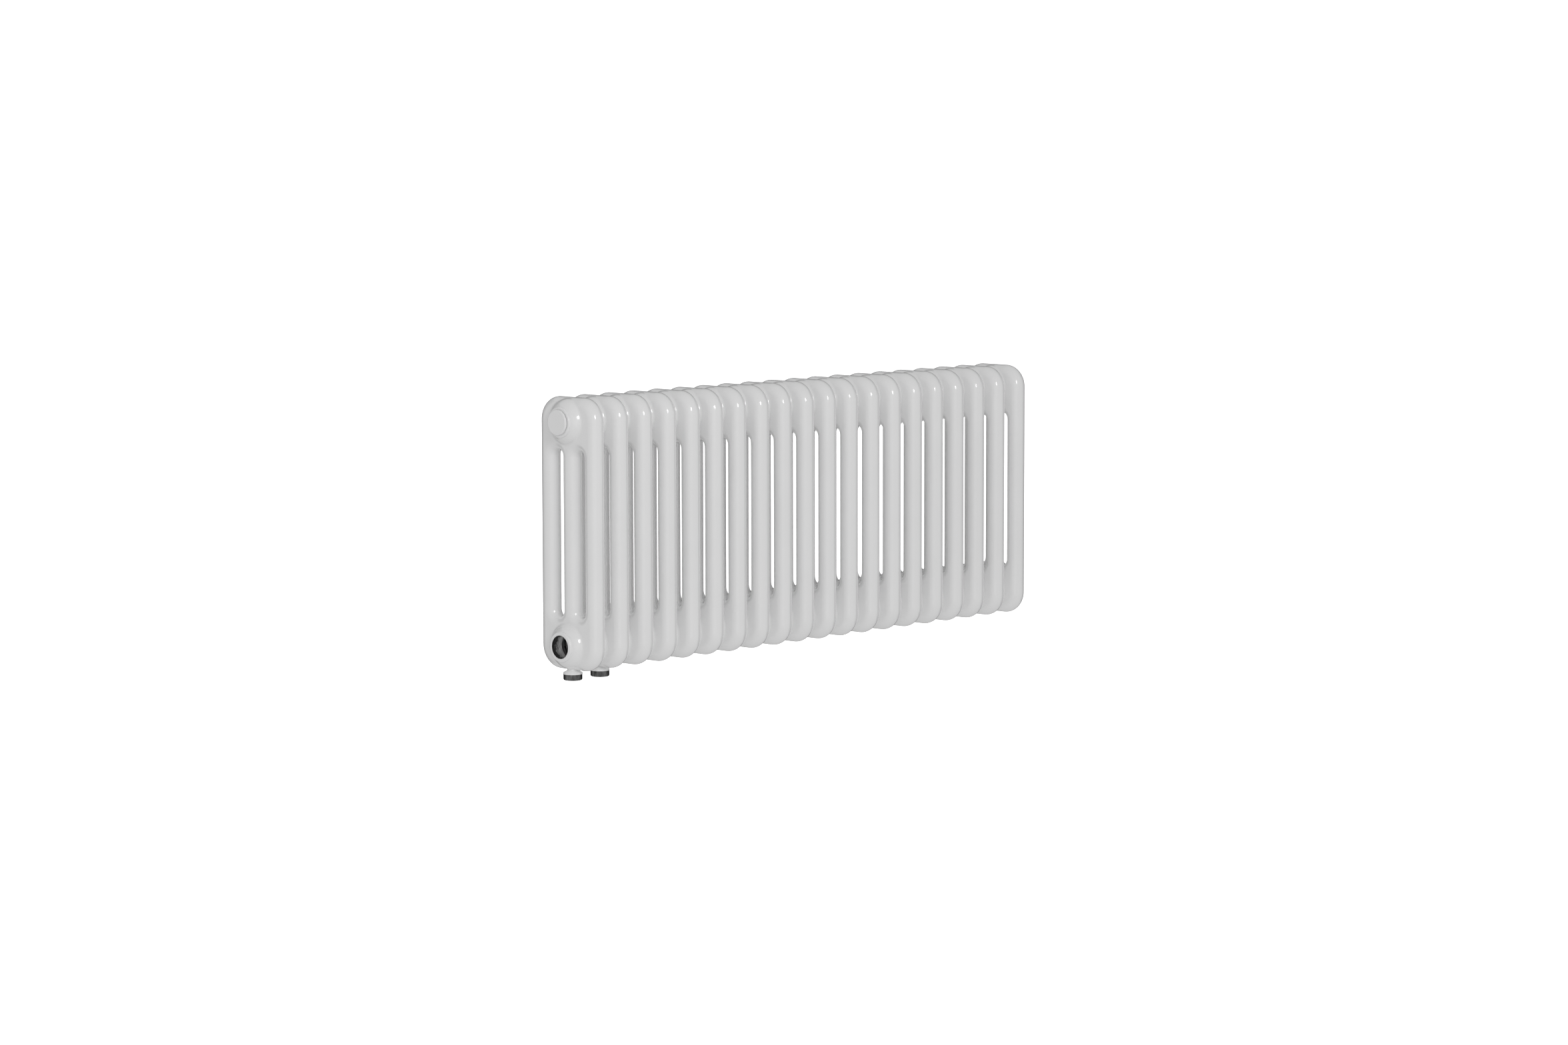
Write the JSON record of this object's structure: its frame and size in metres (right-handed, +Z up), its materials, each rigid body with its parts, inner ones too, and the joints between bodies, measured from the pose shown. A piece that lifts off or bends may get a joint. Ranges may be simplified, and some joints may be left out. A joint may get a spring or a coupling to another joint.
{
  "type": "column radiator",
  "caption": "Wall-hung welded steel column radiator: a row of round vertical tubes between rounded hollow headers, with threaded side hubs, bottom connection spigots and an air vent.",
  "frame": {"origin": "the hanging point: halfway along the row of sections, on the middle plane of its depth, on the underside of the upper hub necks, which wall brackets hook under", "axes": "+X along the row, away from the end with the bottom spigots; +Y from the room towards the wall; +Z up"},
  "size_m": [0.9213, 0.108, 0.3786],
  "materials": {
    "white_coat": "gloss white powder coat on steel",
    "bare_steel": "turned, oiled bare steel",
    "seal_rubber": "matt black seal rubber",
    "nickel_plate": "satin nickel plate on brass",
    "white_plastic": "moulded white plastic",
    "screw_brass": "turned brass"
  },
  "bodies": {
    "radiator": {"blanking_plug_bottom_right": "white_coat", "blanking_plug_top_left": "white_coat", "bottom_head_01": "white_coat", "bottom_head_02": "white_coat", "bottom_head_03": "white_coat", "bottom_head_04": "white_coat", "bottom_head_05": "white_coat", "bottom_head_06": "white_coat", "bottom_head_07": "white_coat", "bottom_head_08": "white_coat", "bottom_head_09": "white_coat", "bottom_head_10": "white_coat", "bottom_head_11": "white_coat", "bottom_head_12": "white_coat", "bottom_head_13": "white_coat", "bottom_head_14": "white_coat", "bottom_head_15": "white_coat", "bottom_head_16": "white_coat", "bottom_head_17": "white_coat", "bottom_head_18": "white_coat", "bottom_head_19": "white_coat", "bottom_head_20": "white_coat", "end_bush_bottom_left": "white_coat", "end_bush_bottom_right": "white_coat", "end_bush_top_left": "white_coat", "end_bush_top_right": "white_coat", "flow_divider": "bare_steel", "flow_spigot": "bare_steel", "front_tubes": "white_coat", "middle_tubes": "white_coat", "plug_seal_bottom_right": "seal_rubber", "plug_seal_top_left": "seal_rubber", "rear_tubes": "white_coat", "return_spigot": "bare_steel", "top_head_01": "white_coat", "top_head_02": "white_coat", "top_head_03": "white_coat", "top_head_04": "white_coat", "top_head_05": "white_coat", "top_head_06": "white_coat", "top_head_07": "white_coat", "top_head_08": "white_coat", "top_head_09": "white_coat", "top_head_10": "white_coat", "top_head_11": "white_coat", "top_head_12": "white_coat", "top_head_13": "white_coat", "top_head_14": "white_coat", "top_head_15": "white_coat", "top_head_16": "white_coat", "top_head_17": "white_coat", "top_head_18": "white_coat", "top_head_19": "white_coat", "top_head_20": "white_coat", "vent_plug": "nickel_plate", "vent_seal": "seal_rubber"},
    "vent_collar": {"vent_collar": "white_plastic"},
    "vent_screw": {"vent_screw": "screw_brass"}
  },
  "joints": [
    {"name": "vent_collar_turn", "type": "hinge", "parent": "radiator", "child": "vent_collar", "pos_m": [0.45995, 0, 0.0205], "axis": [1, 0, 0], "continuous": true},
    {"name": "vent_screw_turn", "type": "hinge", "parent": "radiator", "child": "vent_screw", "pos_m": [0.4595, 0, 0.0205], "axis": [1, 0, 0], "range_deg": [0, 360]}
  ]
}
